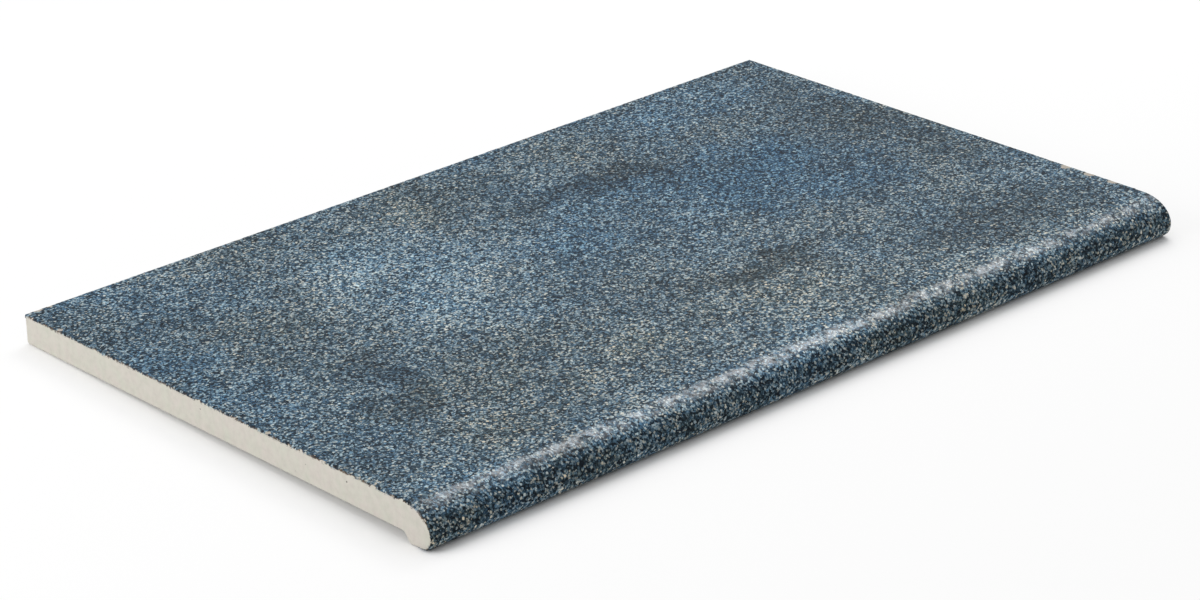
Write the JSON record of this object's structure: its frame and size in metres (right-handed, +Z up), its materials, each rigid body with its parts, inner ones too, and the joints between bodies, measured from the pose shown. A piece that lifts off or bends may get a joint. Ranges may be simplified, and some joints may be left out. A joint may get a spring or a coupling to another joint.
{
  "type": "stair tread tile",
  "caption": "Glazed stoneware stair tread tile with a rounded nosing, a shallow lip that laps the riser, and a keyed bedding side.",
  "frame": {"origin": "middle of the tile's footprint, on the floor that it lies on", "axes": "+X along the nosing, +Y from the nosing to the back edge, +Z up from the floor"},
  "size_m": [0.5, 0.3152, 0.0209],
  "materials": {
    "glazed_stoneware": "satin grit glaze over a cream fired body"
  },
  "bodies": {
    "root": {"tread_tile": "glazed_stoneware"}
  },
  "joints": []
}
